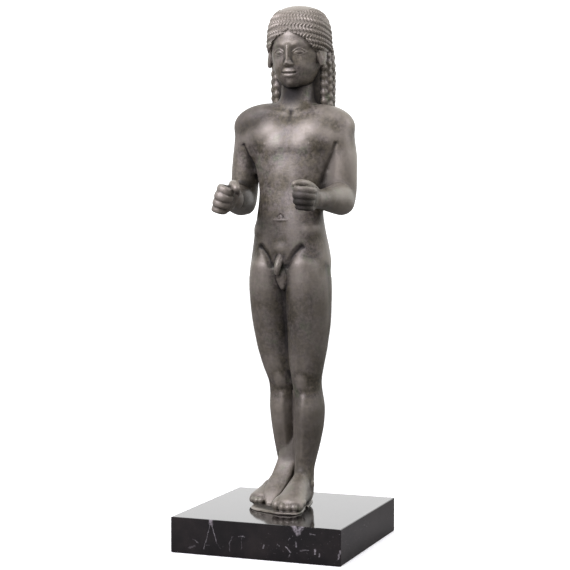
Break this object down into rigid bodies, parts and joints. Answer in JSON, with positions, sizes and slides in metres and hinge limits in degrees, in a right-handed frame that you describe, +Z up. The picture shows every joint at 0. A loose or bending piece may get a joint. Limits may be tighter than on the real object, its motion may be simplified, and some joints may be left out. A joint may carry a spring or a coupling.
{
  "type": "bronze statue on a marble slab",
  "caption": "Bronze cast of an archaic Greek standing nude man with long crimped hair, forearms held out and fists closed, standing on a square polished black marble slab.",
  "frame": {"origin": "centre of the slab's underside, on the surface that it stands on", "axes": "+Z up along the standing figure, -Y the way the figure faces, +X the figure's left"},
  "size_m": [0.15, 0.15, 0.4636],
  "materials": {
    "bronze": "satin",
    "marble": "polished"
  },
  "bodies": {
    "root": {"figure": "bronze", "slab": "marble"}
  },
  "joints": []
}
